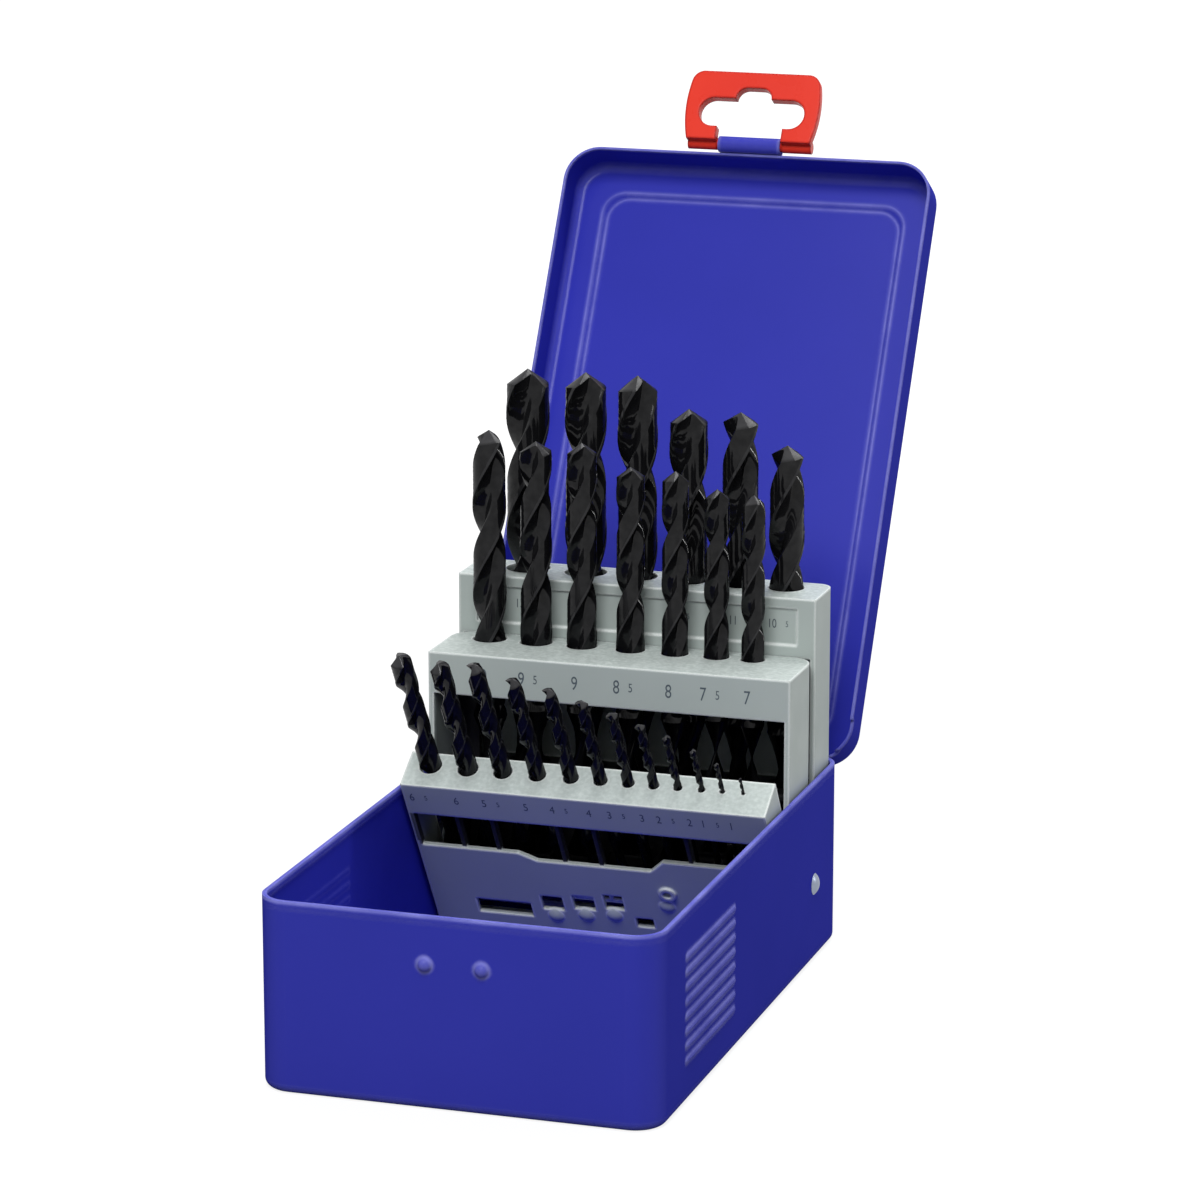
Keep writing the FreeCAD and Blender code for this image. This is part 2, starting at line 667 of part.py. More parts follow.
def twist_drill(diameter, length, fluted):
    radius = diameter * half
    pitch = diameter * pitch_share
    point = radius / math.tan(math.radians(point_degrees))
    start = length - fluted
    span = fluted - point
    count = int(math.ceil(span / pitch * 360 / section_degrees))
    sections = []
    for index in range(count + 1):
        rise = span * index / count
        core = radius * core_share
        if index < len(runout_shares):
            core = radius * runout_shares[index]
        sections.append(flute_section(radius, core, rise / pitch * 360, start + rise))
    flutes = Part.makeLoft(sections, True, False)
    top_turn = span / pitch * 360
    tip_low = flute_section(radius, radius * core_share, top_turn, start + span)
    tip_high = flute_section(radius * chisel_share, radius * chisel_share * core_share, top_turn, length)
    tip = Part.makeLoft([tip_low, tip_high], True, True)
    shank = Part.makeCylinder(radius, start)
    shank = shank.makeChamfer(diameter * shank_chamfer_share, edges_at_level(shank, 0))
    return shank.fuse([flutes, tip])


def place_drills(drills, row, edge_y, edge_z, tilt=0):
    for diameter, length, fluted, x, depth in drills:
        drill = twist_drill(diameter, length, fluted)
        drill.translate(V(x, row, -depth))
        name = "drill_%04.1f" % diameter
        save(name.replace(".", "_"), rack_place(drill, edge_y, edge_z, tilt))


def main():
    os.makedirs("parts", exist_ok=True)
    save("base_tray", base_tray())
    save("lid_shell", swung(lid_shell()))
    hinge_end = hinge_start + knuckle_length * knuckle_count
    save("hinge_pin", rod(hinge_pin_radius, hinge_start, hinge_end, hinge_y, hinge_z))
    unfolded = latch()
    unfolded.rotate(V(0, latch_y, latch_z), AXIS_X, -90)
    save("latch", swung(unfolded))
    save("rack_front", rack_front())
    save("rack_middle", rack_middle())
    save("rack_rear", rack_rear())
    right, left = mirrored(pivot_bracket)
    save("pivot_bracket_right", right)
    save("pivot_bracket_left", left)
    save("side_rivets", Part.makeCompound(list(mirrored(side_rivet))))
    outer = bracket_outer
    stack = mirrored(lambda: rod(pivot_pin_radius, stack_pin_end, outer, stack_pivot_y, stack_pivot_z))
    save("stack_pivot_pins", Part.makeCompound(list(stack)))
    front = mirrored(lambda: rod(pivot_pin_radius, front_pin_end, outer, front_pivot_y, front_pivot_z))
    save("front_pivot_pins", Part.makeCompound(list(front)))
    place_drills(front_set, front_row, front_edge_y, front_edge_z, front_tilt)
    place_drills(middle_set, middle_row, middle_edge_y, middle_edge_z)
    place_drills(rear_set, rear_row, rear_edge_y, rear_edge_z)


main()
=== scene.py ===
"""Looks of an open drill bit case: painted sheet steel box, moulded racks and black twist drills."""

import logging
import math
from collections.abc import Iterable, Sequence
from dataclasses import dataclass, field
from enum import Enum

import bpy
import numpy as np
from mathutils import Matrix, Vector

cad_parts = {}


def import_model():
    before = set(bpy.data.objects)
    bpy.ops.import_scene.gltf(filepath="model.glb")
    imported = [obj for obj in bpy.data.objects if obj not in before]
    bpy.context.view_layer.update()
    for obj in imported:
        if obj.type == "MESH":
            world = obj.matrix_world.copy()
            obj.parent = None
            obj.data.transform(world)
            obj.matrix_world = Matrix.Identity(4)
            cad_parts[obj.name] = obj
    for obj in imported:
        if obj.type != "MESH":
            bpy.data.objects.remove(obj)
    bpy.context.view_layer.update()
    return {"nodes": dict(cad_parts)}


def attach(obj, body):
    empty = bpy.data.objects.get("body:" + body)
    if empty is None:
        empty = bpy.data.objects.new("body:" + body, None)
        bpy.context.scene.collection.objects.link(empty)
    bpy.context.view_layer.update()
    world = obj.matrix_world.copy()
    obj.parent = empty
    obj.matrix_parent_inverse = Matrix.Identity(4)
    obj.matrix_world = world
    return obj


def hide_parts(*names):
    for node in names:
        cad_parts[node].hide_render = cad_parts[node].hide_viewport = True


LOG = logging.getLogger("drill_bit_case")
MM = 0.001
FRONT_LEAN = 33.0
SHARP_ANGLE = 34.0
Triple = tuple[float, float, float]
Colour = Triple
WHITE = (1.0, 1.0, 1.0)


class Slot(Enum):
    """The record's material slots that new pieces take their finish from."""

    GREY_PLASTIC = "grey_plastic"
    BLACK_STEEL = "black_steel"


class Body(Enum):
    """The CAD bodies that new pieces ride on."""

    RACK_STACK = "rack_stack"
    FRONT_RACK = "front_rack"


class Canvas:
    """A thin helper that adds and links nodes in one node tree."""

    def __init__(self, tree: bpy.types.NodeTree) -> None:
        """Take the tree to draw in.

        Args:
            tree: The node tree of a material, world or group.
        """
        self.tree = tree
        self.column = 0

    def add(self, kind: str, values: dict | None = None, **settings: object) -> bpy.types.Node:
        """Add a node, set its properties and plug values or links into its inputs.

        Args:
            kind: The node's type name.
            values: Input name or index to a number, colour or another node's output.
            settings: Properties of the node itself.

        Returns:
            The new node.
        """
        node = self.tree.nodes.new(kind)
        node.location = (self.column * 190.0, 0.0)
        self.column += 1
        for name, value in settings.items():
            setattr(node, name, value)
        for key, value in (values or {}).items():
            self.feed(node, key, value)
        return node

    def feed(self, node: bpy.types.Node, key: str | int, value: object) -> None:
        """Plug a value or another node's output into one input.

        Args:
            node: The node to feed.
            key: The input's name or index.
            value: A number, a tuple, or an output socket.
        """
        if isinstance(value, bpy.types.NodeSocket):
            self.tree.links.new(value, node.inputs[key])
        else:
            node.inputs[key].default_value = value

    def math(self, operation: str, first: object, second: object = 0.0,
             clamp: bool = False) -> bpy.types.NodeSocket:
        """Add a Math node.

        Args:
            operation: The node's operation.
            first: A number or an output socket.
            second: The same, for the second input.
            clamp: Whether the result stays between nought and one.

        Returns:
            The node's output.
        """
        node = self.add("ShaderNodeMath", {0: first, 1: second}, operation=operation)
        node.use_clamp = clamp
        return node.outputs[0]

    def remap(self, value: object, low: float, high: float, to_low: float,
              to_high: float) -> bpy.types.NodeSocket:
        """Add a Map Range node.

        Args:
            value: A number or an output socket.
            low: Start of the range it comes from.
            high: End of the range it comes from.
            to_low: Start of the range it goes to.
            to_high: End of the range it goes to.

        Returns:
            The node's output.
        """
        node = self.add("ShaderNodeMapRange", {0: value, 1: low, 2: high, 3: to_low, 4: to_high})
        return node.outputs[0]

    def mix(self, share: object, first: object, second: object) -> bpy.types.NodeSocket:
        """Add a colour Mix node.

        Args:
            share: How much of the second colour, a number or an output socket.
            first: A colour or an output socket.
            second: The same, for the second colour.

        Returns:
            The mixed colour.
        """
        node = self.add("ShaderNodeMix", data_type="RGBA")
        self.feed(node, 0, share)
        self.feed(node, 6, first)
        self.feed(node, 7, second)
        return node.outputs[2]


def rgba(colour: Colour) -> tuple[float, float, float, float]:
    """Return the colour with full opacity."""
    return (*colour, 1.0)


class SurfaceEffects:
    """Node groups shared by the finishes: soft edges, mottle, grain, hairlines, dust and boxes of painted
    shade.
    """

    def __init__(self) -> None:
        """Build each group once."""
        self.soft_edges = self.make_soft_edges()
        self.mottle = self.make_mottle()
        self.grain = self.make_grain()
        self.hairlines = self.make_hairlines()
        self.dust = self.make_dust()
        self.shade_box = self.make_shade_box()

    @staticmethod
    def open_group(name: str, inputs: dict[str, float | Colour],
                   outputs: dict[str, str]) -> tuple[Canvas, bpy.types.Node, bpy.types.Node]:
        """Make an empty group with named sockets.

        Args:
            name: The group's name.
            inputs: Input names with their default numbers or vectors.
            outputs: Output names with their socket types.

        Returns:
            The canvas, the group's input node and its output node.
        """
        tree = bpy.data.node_groups.new(name, "ShaderNodeTree")
        for label, default in inputs.items():
            kind = "NodeSocketVector" if isinstance(default, tuple) else "NodeSocketFloat"
            socket = tree.interface.new_socket(label, in_out="INPUT", socket_type=kind)
            socket.default_value = default
        for label, kind in outputs.items():
            tree.interface.new_socket(label, in_out="OUTPUT", socket_type=kind)
        canvas = Canvas(tree)
        return canvas, canvas.add("NodeGroupInput"), canvas.add("NodeGroupOutput")

    def make_soft_edges(self) -> bpy.types.NodeTree:
        """Rounded normals along sharp edges, and a mask of where they are.

        Returns:
            The group: Radius in, Normal and Edge out.
        """
        canvas, source, sink = self.open_group(
            "Soft edges", {"Radius": 0.0003},
            {"Normal": "NodeSocketVector", "Edge": "NodeSocketFloat"})
        bevel = canvas.add("ShaderNodeBevel", {"Radius": source.outputs["Radius"]}, samples=6)
        plain = canvas.add("ShaderNodeNewGeometry")
        dot = canvas.add("ShaderNodeVectorMath", {0: bevel.outputs[0], 1: plain.outputs["Normal"]},
                         operation="DOT_PRODUCT")
        edge = canvas.remap(dot.outputs["Value"], 0.999, 0.965, 0.0, 1.0)
        canvas.feed(sink, "Normal", bevel.outputs[0])
        canvas.feed(sink, "Edge", edge)
        return canvas.tree

    def make_mottle(self) -> bpy.types.NodeTree:
        """Broad uneven patches, as from handling or pooled paint.

        Returns:
            The group: Scale, Contrast and Seed in, Mask out.
        """
        canvas, source, sink = self.open_group(
            "Mottle", {"Scale": 30.0, "Contrast": 0.3, "Seed": 0.0}, {"Mask": "NodeSocketFloat"})
        place = canvas.add("ShaderNodeTexCoord")
        noise = canvas.add("ShaderNodeTexNoise", {
            "Vector": place.outputs["Object"], "W": source.outputs["Seed"],
            "Scale": source.outputs["Scale"], "Detail": 4.0, "Roughness": 0.55}, noise_dimensions="4D")
        low = canvas.math("SUBTRACT", 0.5, source.outputs["Contrast"])
        high = canvas.math("ADD", 0.5, source.outputs["Contrast"])
        mask = canvas.add("ShaderNodeMapRange", {0: noise.outputs[0], 1: low, 2: high},
                          interpolation_type="SMOOTHSTEP")
        canvas.feed(sink, "Mask", mask.outputs[0])
        return canvas.tree

    def make_grain(self) -> bpy.types.NodeTree:
        """Fine even grain with a second, coarser swell under it.

        Returns:
            The group: Scale and Swell in, Height out.
        """
        canvas, source, sink = self.open_group(
            "Fine grain", {"Scale": 1500.0, "Swell": 0.4}, {"Height": "NodeSocketFloat"})
        place = canvas.add("ShaderNodeTexCoord")
        fine = canvas.add("ShaderNodeTexNoise", {
            "Vector": place.outputs["Object"], "Scale": source.outputs["Scale"], "Detail": 2.0})
        wide = canvas.math("MULTIPLY", source.outputs["Scale"], 0.17)
        coarse = canvas.add("ShaderNodeTexNoise", {
            "Vector": place.outputs["Object"], "Scale": wide, "Detail": 1.0})
        swell = canvas.math("MULTIPLY", coarse.outputs[0], source.outputs["Swell"])
        canvas.feed(sink, "Height", canvas.math("ADD", fine.outputs[0], swell))
        return canvas.tree

    def make_hairlines(self) -> bpy.types.NodeTree:
        """Sparse hair-thin rub marks in two directions.

        Returns:
            The group: Scale and Amount in, Mask out.
        """
        canvas, source, sink = self.open_group(
            "Hairlines", {"Scale": 60.0, "Amount": 0.5}, {"Mask": "NodeSocketFloat"})
        place = canvas.add("ShaderNodeTexCoord")
        masks = []
        for turn in ((0.4, 0.2, 0.9), (1.9, 0.7, 2.4)):
            spun = canvas.add("ShaderNodeMapping", {
                "Vector": place.outputs["Object"], "Rotation": turn, "Scale": (0.06, 1.0, 1.0)})
            noise = canvas.add("ShaderNodeTexNoise", {
                "Vector": spun.outputs[0], "Scale": source.outputs["Scale"], "Detail": 6.0,
                "Roughness": 0.8})
            masks.append(canvas.remap(noise.outputs[0], 0.66, 0.72, 0.0, 1.0))
        both = canvas.math("MAXIMUM", masks[0], masks[1])
        canvas.feed(sink, "Mask", canvas.math("MULTIPLY", both, source.outputs["Amount"]))
        return canvas.tree

    def make_dust(self) -> bpy.types.NodeTree:
        """A thin film on faces that look up in the piece's own frame.

        Returns:
            The group: Scale and Amount in, Mask out.
        """
        canvas, source, sink = self.open_group(
            "Dust film", {"Scale": 90.0, "Amount": 0.2}, {"Mask": "NodeSocketFloat"})
        place = canvas.add("ShaderNodeTexCoord")
        parts = canvas.add("ShaderNodeSeparateXYZ", {0: place.outputs["Normal"]})
        level = canvas.remap(parts.outputs[2], 0.55, 0.95, 0.0, 1.0)
        noise = canvas.add("ShaderNodeTexNoise", {
            "Vector": place.outputs["Object"], "Scale": source.outputs["Scale"], "Detail": 5.0})
        patch = canvas.remap(noise.outputs[0], 0.4, 0.68, 0.0, 1.0)
        film = canvas.math("MULTIPLY", level, patch)
        canvas.feed(sink, "Mask", canvas.math("MULTIPLY", film, source.outputs["Amount"]))
        return canvas.tree

    def make_shade_box(self) -> bpy.types.NodeTree:
        """A box-shaped region of painted shade, in which the colour is darkened to stand in for the
        little light that reaches inside.

        The distance outside the box is the largest of |place - centre| - half size over the box's
        own three axes; the mask falls from one to nought across its skin.

        Returns:
            The group: Centre, Half size and Turn in, Mask out.
        """
        canvas, source, sink = self.open_group(
            "Pocket",
            {"Centre": (0.0, 0.0, 0.0), "Half size": (0.01, 0.01, 0.01), "Turn": (0.0, 0.0, 0.0)},
            {"Mask": "NodeSocketFloat"})
        place = canvas.add("ShaderNodeTexCoord")
        away = canvas.add("ShaderNodeVectorMath", {
            0: place.outputs["Object"], 1: source.outputs["Centre"]}, operation="SUBTRACT")
        turned = canvas.add("ShaderNodeMapping", {
            "Vector": away.outputs[0], "Rotation": source.outputs["Turn"]})
        folded = canvas.add("ShaderNodeVectorMath", {0: turned.outputs[0]}, operation="ABSOLUTE")
        over = canvas.add("ShaderNodeVectorMath", {
            0: folded.outputs[0], 1: source.outputs["Half size"]}, operation="SUBTRACT")
        parts = canvas.add("ShaderNodeSeparateXYZ", {0: over.outputs[0]})
        widest = canvas.math("MAXIMUM", parts.outputs[0], parts.outputs[1])
        widest = canvas.math("MAXIMUM", widest, parts.outputs[2])
        canvas.feed(sink, "Mask", canvas.remap(widest, -0.0006, 0.0, 1.0, 0.0))
        return canvas.tree


@dataclass(frozen=True)
class Finish:
    """What every finish has: a name, a colour range and a shine range."""

    name: str
    colour: Colour
    shade: Colour
    smooth: float
    rough: float

    def start(self) -> tuple[Canvas, bpy.types.Node, bpy.types.Material]:
        """Open a material with a Principled shader in it.

        Returns:
            The canvas, the shader node and the material.
        """
        material = bpy.data.materials.new(self.name)
        material.use_nodes = True
        material.node_tree.nodes.clear()
        canvas = Canvas(material.node_tree)
        shader = canvas.add("ShaderNodeBsdfPrincipled")
        canvas.add("ShaderNodeOutputMaterial", {"Surface": shader.outputs[0]})
        material.diffuse_color = rgba(self.colour)
        return canvas, shader, material

    def group(self, canvas: Canvas, tree: bpy.types.NodeTree, **values: object) -> bpy.types.Node:
        """Place one of the shared groups with this finish's own values.

        Args:
            canvas: The material's canvas.
            tree: The group.
            values: The group's inputs by name.

        Returns:
            The group's node.
        """
        node = canvas.add("ShaderNodeGroup", node_tree=tree)
        for key, value in values.items():
            canvas.feed(node, key, value)
        return node


@dataclass(frozen=True)
class EnamelPaint(Finish):
    """Stoved enamel on sheet steel: slight orange peel, painted highlights along the edges, soft smudges.
    """

    painted_highlight_colour: Colour = (0.32, 0.33, 0.86)
    edge_radius: float = 0.0019
    peel_depth: float = 0.000025
    dust_tone: Colour = (0.45, 0.45, 0.5)
    gloss: float = 0.22
    grazing_gloss: float = 0.02
    coat_rough: float = 0.2

    def build(self, effects: SurfaceEffects) -> bpy.types.Material:
        """Wire the enamel.

        Args:
            effects: The shared node groups.

        Returns:
            The finished material.
        """
        canvas, shader, material = self.start()
        edges = self.group(canvas, effects.soft_edges, Radius=self.edge_radius)
        pools = self.group(canvas, effects.mottle, Scale=22.0, Contrast=0.32, Seed=1.0)
        smudge = self.group(canvas, effects.mottle, Scale=75.0, Contrast=0.2, Seed=4.0)
        lines = self.group(canvas, effects.hairlines, Scale=55.0, Amount=0.12)
        dust = self.group(canvas, effects.dust, Scale=120.0, Amount=0.03)
        peel = self.group(canvas, effects.grain, Scale=1100.0, Swell=0.8)
        body = canvas.mix(pools.outputs["Mask"], rgba(self.colour), rgba(self.shade))
        # Painted highlight: a lighter blue is mixed in along sharp edges and panel creases, its share
        # varied by the smudge mask.
        painted_edge_highlight = canvas.math("MULTIPLY", edges.outputs["Edge"],
                             canvas.remap(smudge.outputs["Mask"], 0.0, 1.0, 0.5, 0.85))
        body = canvas.mix(painted_edge_highlight, body, rgba(self.painted_highlight_colour))
        body = canvas.mix(lines.outputs["Mask"], body, rgba(self.colour))
        body = canvas.mix(dust.outputs["Mask"], body, rgba(self.dust_tone))
        canvas.feed(shader, "Base Color", body)
        shine = canvas.remap(smudge.outputs["Mask"], 0.0, 1.0, self.smooth, self.rough)
        canvas.feed(shader, "Roughness", canvas.math("ADD", shine, dust.outputs["Mask"]))
        shader.inputs["Specular IOR Level"].default_value = 0.0
        facing = canvas.add("ShaderNodeLayerWeight", {"Blend": 0.5}).outputs["Facing"]
        coat = canvas.remap(facing, 0.25, 0.65, self.gloss, self.grazing_gloss)
        canvas.feed(shader, "Coat Weight", coat)
        shader.inputs["Coat Roughness"].default_value = self.coat_rough
        bump = canvas.add("ShaderNodeBump", {
            "Height": peel.outputs["Height"], "Normal": edges.outputs["Normal"],
            "Strength": 0.5, "Distance": self.peel_depth})
        canvas.feed(shader, "Normal", bump.outputs[0])
        return material


@dataclass(frozen=True)
class Pocket:
    """A box inside a rack whose colour is darkened as painted shade, in metres, leaning by an angle in
    degrees.
    """

    centre: Triple
    half_size: Triple
    lean: float = 0.0


# Boxes of painted shade: the racks' interiors and the front rack's window ribs are darkened in colour
# where little light reaches.
RACK_SHADE_BOXES = (
    Pocket((0.0, 0.0665, 0.0539), (0.0539, 0.0222, 0.0343)),
    Pocket((0.0, 0.04066, 0.03425), (0.0539, 0.0054, 0.0292), FRONT_LEAN),
    Pocket((0.0, 0.02831, 0.04197), (0.0550, 0.00155, 0.0063), FRONT_LEAN),
    Pocket((-0.0395, 0.03199, 0.03631), (0.0150, 0.00155, 0.00135), FRONT_LEAN),
    Pocket((-0.0013, 0.03275, 0.03514), (0.0174, 0.00155, 0.00275), FRONT_LEAN),
)


@dataclass(frozen=True)
class MouldedPlastic(Finish):
    """Injection moulded plastic: spark-eroded grain, an edge tint as painted highlight (grey) and painted
    shade (red), dust with painted light on tops, painted shade in the pockets.
    """

    grain_scale: float = 2300.0
    grain_depth: float = 0.00004
    edge_radius: float = 0.0011
    dust_and_top_light_amount: float = 0.4
    dust_and_top_light_tint: Colour = (0.80, 0.86, 0.84)
    painted_edge_shading_tint: Colour = (0.93, 0.98, 0.96)
    painted_edge_shading_share: float = 0.85
    specular: float = 0.3
    shade_boxes: tuple[Pocket, ...] = ()
    painted_shade_tone: Colour = (0.014, 0.014, 0.016)

    def build(self, effects: SurfaceEffects) -> bpy.types.Material:
        """Wire the plastic.

        Args:
            effects: The shared node groups.

        Returns:
            The finished material.
        """
        canvas, shader, material = self.start()
        edges = self.group(canvas, effects.soft_edges, Radius=self.edge_radius)
        flow = self.group(canvas, effects.mottle, Scale=34.0, Contrast=0.35, Seed=7.0)
        touch = self.group(canvas, effects.mottle, Scale=110.0, Contrast=0.22, Seed=2.0)
        lines = self.group(canvas, effects.hairlines, Scale=80.0, Amount=0.25)
        dust = self.group(canvas, effects.dust, Scale=800.0, Amount=self.dust_and_top_light_amount)
        grain = self.group(canvas, effects.grain, Scale=self.grain_scale, Swell=0.5)
        body = canvas.mix(flow.outputs["Mask"], rgba(self.colour), rgba(self.shade))
        # Painted highlight on the grey racks' edges and painted shade on the red latch's edges: the edge
        # mask mixes in the edge tint, pale for grey, dark red for the latch.
        painted_edge_shading = canvas.math("MULTIPLY", edges.outputs["Edge"], self.painted_edge_shading_share)
        body = canvas.mix(painted_edge_shading, body, rgba(self.painted_edge_shading_tint))
        # Dust film on up-facing faces; on the grey racks its pale tint is partly dust and partly painted
        # light that brightens the tops.
        body = canvas.mix(dust.outputs["Mask"], body, rgba(self.dust_and_top_light_tint))
        # Painted shade: inside each box the colour is mixed towards near black.
        for shade_box in self.shade_boxes:
            shade_region = self.group(canvas, effects.shade_box, Centre=shade_box.centre,
                                Turn=(-math.radians(shade_box.lean), 0.0, 0.0))
            canvas.feed(shade_region, "Half size", shade_box.half_size)
            body = canvas.mix(shade_region.outputs["Mask"], body, rgba(self.painted_shade_tone))
        canvas.feed(shader, "Base Color", body)
        shader.inputs["Specular IOR Level"].default_value = self.specular
        shine = canvas.remap(touch.outputs["Mask"], 0.0, 1.0, self.smooth, self.rough)
        canvas.feed(shader, "Roughness", canvas.math("ADD", shine, lines.outputs["Mask"]))
        bump = canvas.add("ShaderNodeBump", {
            "Height": grain.outputs["Height"], "Normal": edges.outputs["Normal"],
            "Strength": 0.45, "Distance": self.grain_depth})
        canvas.feed(shader, "Normal", bump.outputs[0])
        return material


@dataclass(frozen=True)
class BlackedSteel(Finish):
    """Black oxide on ground steel; margins and points carry a lighter ground tone."""

    ground_colour: Colour = (0.34, 0.34, 0.36)
    scratch_colour: Colour = (0.1, 0.1, 0.105)
    scratch_share: float = 0.35
    mark_scale: float = 240.0
    film_rough: float = 0.08

    def build(self, effects: SurfaceEffects) -> bpy.types.Material:
        """Wire the blacked steel, with grinding rings that follow the piece's own UV map.

        Args:
            effects: The shared node groups.

        Returns:
            The finished material.
        """
        canvas, shader, material = self.start()
        patches = self.group(canvas, effects.mottle, Scale=160.0, Contrast=0.3, Seed=3.0)
        oil = self.group(canvas, effects.mottle, Scale=420.0, Contrast=0.2, Seed=9.0)
        lines = self.group(canvas, effects.hairlines, Scale=240.0, Amount=0.5)
        ground = canvas.add("ShaderNodeAttribute", attribute_name="ground")
        unwrapped = canvas.add("ShaderNodeUVMap", uv_map="turned")
        stretched = canvas.add("ShaderNodeMapping", {
            "Vector": unwrapped.outputs[0], "Scale": (0.8, self.mark_scale, 1.0)})
        rings = canvas.add("ShaderNodeTexNoise", {
            "Vector": stretched.outputs[0], "Scale": 3.0, "Detail": 3.0})
        body = canvas.mix(patches.outputs["Mask"], rgba(self.colour), rgba(self.shade))
        worn = canvas.math("MULTIPLY", ground.outputs["Fac"],
                           canvas.remap(patches.outputs["Mask"], 0.0, 1.0, 0.5, 1.0))
        body = canvas.mix(worn, body, rgba(self.ground_colour))
        scratched = canvas.math("MULTIPLY", lines.outputs["Mask"], self.scratch_share)
        body = canvas.mix(scratched, body, rgba(self.scratch_colour))
        canvas.feed(shader, "Base Color", body)
        canvas.feed(shader, "Metallic", canvas.remap(worn, 0.0, 1.0, 0.0, 0.8))
        shader.inputs["Specular IOR Level"].default_value = 0.0
        canvas.feed(shader, "Coat Weight", canvas.remap(oil.outputs["Mask"], 0.0, 1.0, 0.45, 0.3))
        shader.inputs["Coat Roughness"].default_value = self.film_rough
        shine = canvas.remap(oil.outputs["Mask"], 0.0, 1.0, self.smooth, self.rough)
        canvas.feed(shader, "Roughness", shine)
        bump = canvas.add("ShaderNodeBump", {
            "Height": rings.outputs[0], "Strength": 0.3, "Distance": 0.00003})
        canvas.feed(shader, "Normal", bump.outputs[0])
        return material


@dataclass(frozen=True)
class ZincPlate(Finish):
    """Bright zinc plate: cloudy tone, fine rub marks, tight edges."""

    def build(self, effects: SurfaceEffects) -> bpy.types.Material:
        """Wire the plated metal.

        Args:
            effects: The shared node groups.

        Returns:
            The finished material.
        """
        canvas, shader, material = self.start()
        edges = self.group(canvas, effects.soft_edges, Radius=0.0002)
        cloud = self.group(canvas, effects.mottle, Scale=260.0, Contrast=0.3, Seed=5.0)
        lines = self.group(canvas, effects.hairlines, Scale=300.0, Amount=0.3)
        grain = self.group(canvas, effects.grain, Scale=2600.0, Swell=0.6)
        body = canvas.mix(cloud.outputs["Mask"], rgba(self.colour), rgba(self.shade))
        canvas.feed(shader, "Base Color", body)
        shine = canvas.remap(cloud.outputs["Mask"], 0.0, 1.0, self.smooth, self.rough)
        canvas.feed(shader, "Roughness", canvas.math("ADD", shine, lines.outputs["Mask"]))
        shader.inputs["Metallic"].default_value = 1.0
        bump = canvas.add("ShaderNodeBump", {
            "Height": grain.outputs["Height"], "Normal": edges.outputs["Normal"],
            "Strength": 0.25, "Distance": 0.00002})
        canvas.feed(shader, "Normal", bump.outputs[0])
        return material


@dataclass(frozen=True)
class PrintInk(Finish):
    """Thin printed ink with a slightly broken edge tone."""

    def build(self, effects: SurfaceEffects) -> bpy.types.Material:
        """Wire the ink.

        Args:
            effects: The shared node groups.

        Returns:
            The finished material.
        """
        canvas, shader, material = self.start()
        thin = self.group(canvas, effects.mottle, Scale=900.0, Contrast=0.25, Seed=6.0)
        body = canvas.mix(thin.outputs["Mask"], rgba(self.colour), rgba(self.shade))
        canvas.feed(shader, "Base Color", body)
        canvas.feed(shader, "Roughness",
                    canvas.remap(thin.outputs["Mask"], 0.0, 1.0, self.smooth, self.rough))
        return material


@dataclass
class Palette:
    """All finishes of the case, built once."""

    effects: SurfaceEffects
    blue: bpy.types.Material = field(init=False)
    grey: bpy.types.Material = field(init=False)
    red: bpy.types.Material = field(init=False)
    black: bpy.types.Material = field(init=False)
    zinc: bpy.types.Material = field(init=False)
    ink: bpy.types.Material = field(init=False)

    def __post_init__(self) -> None:
        """Build the materials."""
        self.blue = EnamelPaint(
            "Blue enamel", (0.034, 0.040, 0.465), (0.030, 0.037, 0.435), 0.4, 0.5).build(self.effects)
        self.grey = MouldedPlastic(
            "Grey moulding", (0.47, 0.53, 0.51), (0.435, 0.495, 0.475), 0.42, 0.55,
            shade_boxes=RACK_SHADE_BOXES).build(self.effects)
        self.red = MouldedPlastic(
            "Red moulding", (0.84, 0.045, 0.022), (0.78, 0.035, 0.018), 0.24, 0.34,
            grain_scale=1500.0, grain_depth=0.00002, dust_and_top_light_amount=0.02, dust_and_top_light_tint=(0.3, 0.29, 0.27),
            specular=0.12, painted_edge_shading_tint=(0.55, 0.02, 0.015), painted_edge_shading_share=0.7).build(self.effects)
        self.black = BlackedSteel(
            "Black oxide", (0.005, 0.005, 0.006), (0.009, 0.009, 0.010), 0.2, 0.34).build(self.effects)
        self.zinc = ZincPlate(
            "Zinc plate", (0.30, 0.34, 0.42), (0.22, 0.25, 0.32), 0.34, 0.46).build(self.effects)
        self.ink = PrintInk(
            "Size print", (0.06, 0.08, 0.10), (0.10, 0.13, 0.15), 0.5, 0.65).build(self.effects)


def dress_nodes(nodes: dict[str, bpy.types.Object], names: Iterable[str],
                material: bpy.types.Material) -> None:
    """Give carried-over CAD nodes a material through their slots.

    Args:
        nodes: The frame's nodes by name.
        names: The nodes to dress.
        material: The finish they get.
    """
    for name in names:
        for slot in nodes[name].material_slots:
            slot.material = material
        LOG.info("dressed %s with %s", name, material.name)


def grid_faces(rows: int, columns: int) -> np.ndarray:
    """Quads of a grid whose columns close on themselves.

    Args:
        rows: Number of rings.
        columns: Number of points in a ring.

    Returns:
        One row of four vertex numbers for each quad, rings running upwards.
    """
    ring, place = np.meshgrid(np.arange(rows - 1), np.arange(columns), indexing="ij")
    following = (place + 1) % columns
    low, high = ring * columns, (ring + 1) * columns
    quads = np.stack((low + place, low + following, high + following, high + place), axis=-1)
    return quads.reshape(-1, 4)


